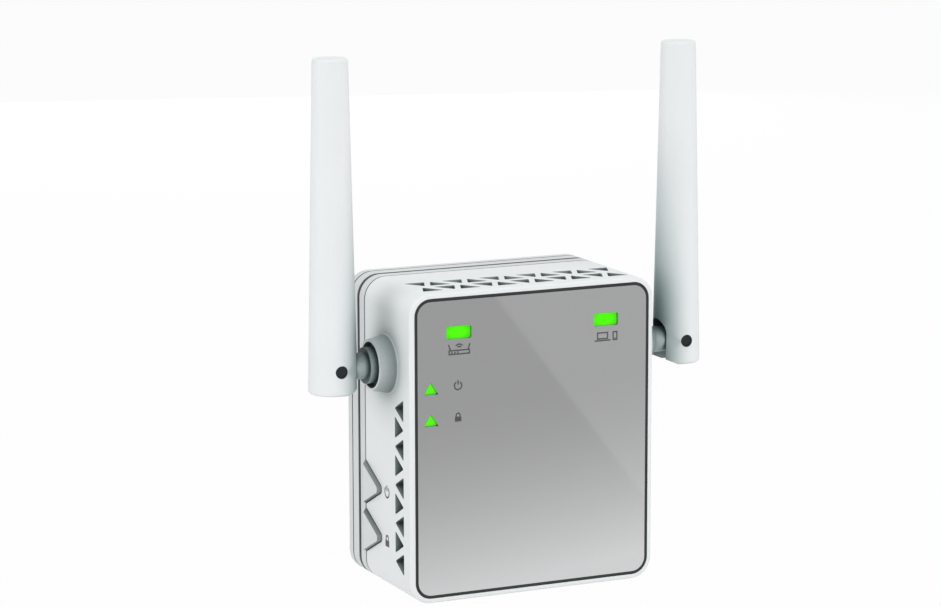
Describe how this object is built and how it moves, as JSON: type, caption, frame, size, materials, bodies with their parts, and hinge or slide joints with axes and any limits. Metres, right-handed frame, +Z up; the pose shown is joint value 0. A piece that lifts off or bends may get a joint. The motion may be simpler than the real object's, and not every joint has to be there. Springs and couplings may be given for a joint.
{
  "type": "wifi range extender",
  "caption": "Plug-in wireless range extender: white vented case with a silver facing, lit windows, side keys, a network socket below and folding antennas at the sides",
  "frame": {"origin": "middle of the wall face, on the case's back", "axes": "+X right seen from the front, +Y into the wall, +Z up"},
  "size_m": [0.0926, 0.051, 0.1161],
  "materials": {
    "white_plastic": "white moulded plastic with a fine satin grain",
    "panel_silver": "glossy silver-grey facing",
    "gasket_dark": "matt dark grey edging",
    "lamp_green": "clear green window lit from behind",
    "steel": "plated steel",
    "chip_yellow": "yellow moulded plastic and tape",
    "black_plastic": "black moulded plastic",
    "board_green": "green coated laminate",
    "brass": "plain and gilt brass",
    "lead_grey": "grey coaxial lead",
    "ferrite": "dark sintered ferrite",
    "capacitor_blue": "shrink sleeve"
  },
  "bodies": {
    "case": {"antenna_plugs": "brass", "blade_carrier": "black_plastic", "board_screws": "steel", "bulk_capacitors": "capacitor_blue", "case_screws": "steel", "choke": "ferrite", "client_lens": "lamp_green", "crystal": "steel", "ethernet_contacts": "brass", "ethernet_socket": "black_plastic", "front_housing": "white_plastic", "front_panel": "panel_silver", "lamp_chips": "chip_yellow", "lan_magnetics": "black_plastic", "left_blade": "brass", "left_lead": "lead_grey", "link_header": "black_plastic", "link_lens": "lamp_green", "link_pins": "brass", "main_board": "board_green", "mains_fuse": "steel", "memory_chip": "black_plastic", "mid_frame": "white_plastic", "output_capacitor": "capacitor_blue", "pairing_lens": "lamp_green", "pairing_switch": "black_plastic", "panel_gasket": "gasket_dark", "power_lens": "lamp_green", "power_switch": "black_plastic", "processor": "black_plastic", "radio_shield": "steel", "rear_cover": "white_plastic", "rectifier": "black_plastic", "reset_switch": "black_plastic", "right_blade": "brass", "right_lead": "lead_grey", "supply_board": "board_green", "supply_screws": "steel", "suppressor": "chip_yellow", "switch_board": "board_green", "transformer_core": "ferrite", "transformer_winding": "chip_yellow"},
    "left_swivel_body": {"left_swivel": "white_plastic", "left_clip": "steel"},
    "left_antenna_body": {"left_antenna": "white_plastic", "left_hinge_pins": "steel", "left_element": "brass", "left_feed": "lead_grey"},
    "right_swivel_body": {"right_swivel": "white_plastic", "right_clip": "steel"},
    "right_antenna_body": {"right_antenna": "white_plastic", "right_hinge_pins": "steel", "right_element": "brass", "right_feed": "lead_grey"},
    "power_key_body": {"power_key": "white_plastic", "power_stem": "chip_yellow"},
    "pairing_key_body": {"pairing_key": "white_plastic", "pairing_stem": "chip_yellow"},
    "reset_body": {"reset_stem": "chip_yellow"}
  },
  "joints": [
    {"name": "left_antenna_swivel", "type": "hinge", "parent": "case", "child": "left_swivel_body", "pos_m": [-0.0325, -0.022, 0.0168], "axis": [1, 0, 0], "range_deg": [-15, 180]},
    {"name": "left_antenna_tilt", "type": "hinge", "parent": "left_swivel_body", "child": "left_antenna_body", "pos_m": [-0.04105, -0.022, 0.0168], "axis": [0, -1, 0], "range_deg": [0, 90]},
    {"name": "right_antenna_swivel", "type": "hinge", "parent": "case", "child": "right_swivel_body", "pos_m": [0.0325, -0.022, 0.0168], "axis": [1, 0, 0], "range_deg": [-15, 180]},
    {"name": "right_antenna_tilt", "type": "hinge", "parent": "right_swivel_body", "child": "right_antenna_body", "pos_m": [0.04105, -0.022, 0.0168], "axis": [0, 1, 0], "range_deg": [0, 90]},
    {"name": "power_key_press", "type": "slide", "parent": "case", "child": "power_key_body", "axis": [1, 0, 0], "range_m": [0, 0.0008], "stiffness_N_per_m": 2000, "springref_m": -0.0002},
    {"name": "pairing_key_press", "type": "slide", "parent": "case", "child": "pairing_key_body", "axis": [1, 0, 0], "range_m": [0, 0.0008], "stiffness_N_per_m": 2000, "springref_m": -0.0002},
    {"name": "reset_press", "type": "slide", "parent": "case", "child": "reset_body", "axis": [0, 0, 1], "range_m": [0, 0.0005], "stiffness_N_per_m": 2000, "springref_m": -0.0002}
  ]
}
